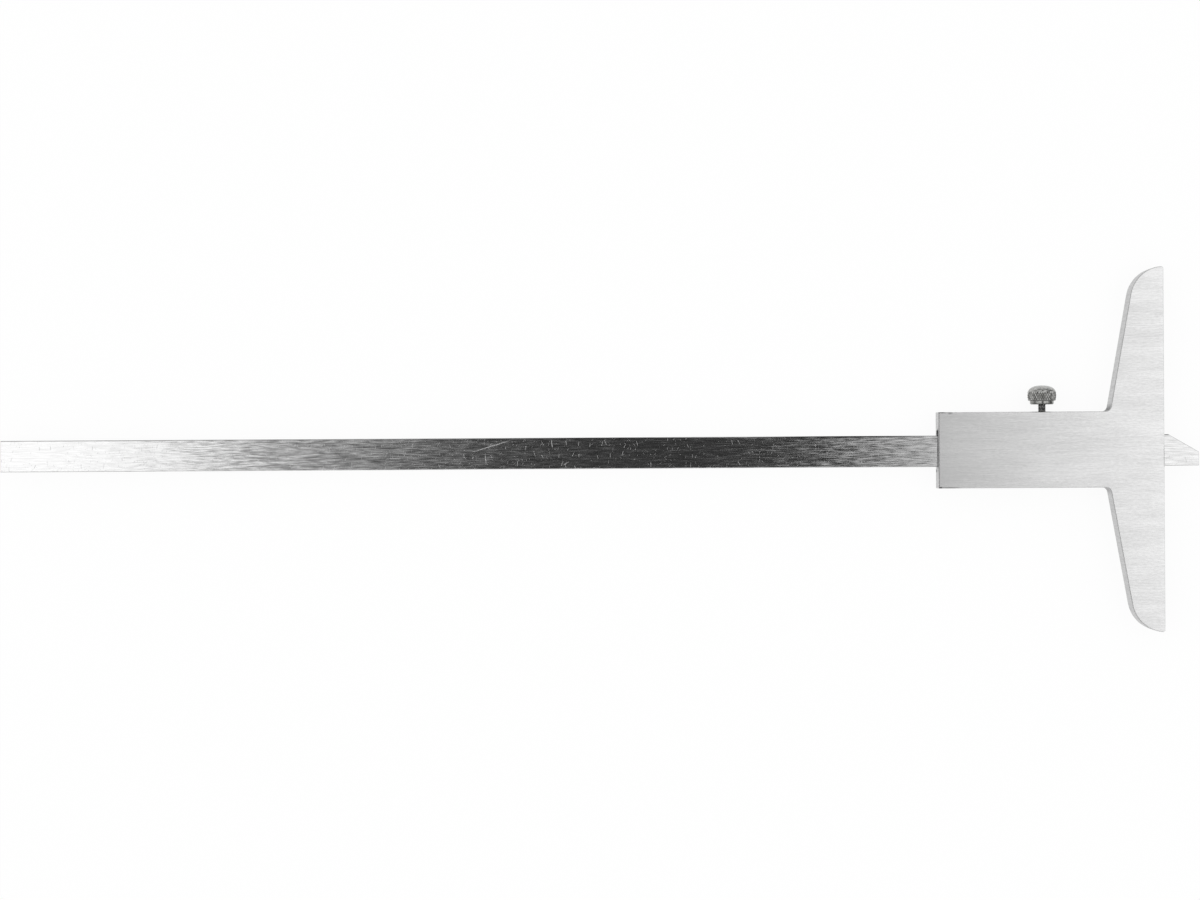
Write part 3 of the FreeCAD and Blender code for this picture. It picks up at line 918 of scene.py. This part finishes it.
def beamScale(metal):
    # read from the front, so the numbers run towards the far end and face down
    low, high = [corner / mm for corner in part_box("beam")]
    zero = high.x - scaleSet["vernierZero"]
    facing = Matrix.Rotation(math.pi, 4, "Y")
    shapes = figureShapes(scaleSet["figureHigh"])
    shape = bmesh.new()
    for number in range(scaleSet["reach"]):
        place = Matrix.Translation((zero - number, 0, low.z)) @ facing
        step = stepOf(number, scaleSet["lineHigh"])
        stampLine(shape, place, scaleSet["lineLow"], scaleSet["lineHigh"][step])
        if number % scaleSet["figureEach"] == 0 and number <= scaleSet["numbered"]:
            above = Matrix.Translation((0, scaleSet["figureLow"], 0))
            stampFigures(shape, shapes, number, scaleSet["figureHigh"], place @ above)
    finishScale("beam_scale", shape, metal, "beam")


def vernierScale(metal):
    # on the vernier's slope, with its lines starting at the thin edge over the beam
    plate = [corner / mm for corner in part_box("vernier_plate")]
    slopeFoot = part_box("beam")[0].y / mm
    edgeFront = plate[1].z - scaleSet["vernierEdge"]
    run, fall = plate[1].y - slopeFoot, edgeFront - plate[0].z
    facing = Matrix.Rotation(math.pi, 4, "Y")
    slope = Matrix.Rotation(-math.atan2(fall, run), 4, "X")
    shapes = figureShapes(scaleSet["figureHigh"])
    shape = bmesh.new()
    for part in range(scaleSet["vernierParts"] + 1):
        x = -scaleSet["vernierZero"] - part * scaleSet["vernierSpan"] / scaleSet["vernierParts"]
        place = Matrix.Translation((x, plate[1].y, edgeFront)) @ facing @ slope
        step = stepOf(part, scaleSet["vernierLine"])
        stampLine(shape, place, -scaleSet["vernierLine"][step], 0)
        figure, between = divmod(part, scaleSet["vernierFigureEach"])
        if between == 0:
            longest = max(scaleSet["vernierLine"].values())
            drop = longest + scaleSet["vernierFigureGap"] + scaleSet["figureHigh"]
            below = Matrix.Translation((0, -drop, 0))
            stampFigures(shape, shapes, figure % 10, scaleSet["figureHigh"], place @ below)
    finishScale("vernier_scale", shape, metal, "head")


makeCamera()
makeRoom()
makeLamps()
makeTable()
print("room, camera and lamps made")

headMetal = groundSteel()
finishes = {
    "head_body": headMetal,
    "front_plate": headMetal,
    "beam": brushedBeamSteel(),
    "vernier_plate": satinVernierSteel(),
    "gib_strip": rolledBronze(),
}
for name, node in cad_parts.items():
    if "screw" in name:
        finishes[name] = turnedMetal("turnedScrewSteel", name, "Y" if "set" in name else "Z")
    elif name == "lock_pad":
        finishes[name] = turnedMetal("turnedBrass", name, "Y")
    elif name in ("lock_knob", "lock_stud"):
        finishes[name] = turnedMetal("nickelledKnob", name, "Y")
    node.data.materials.clear()
    node.data.materials.append(finishes[name])
print("finishes made")

knurledKnob(finishes["lock_knob"])
threadedStud(blackOxide())
print("lock screw made")

paint = engravingPaint()
beamScale(paint)
vernierScale(paint)
print("scales made")
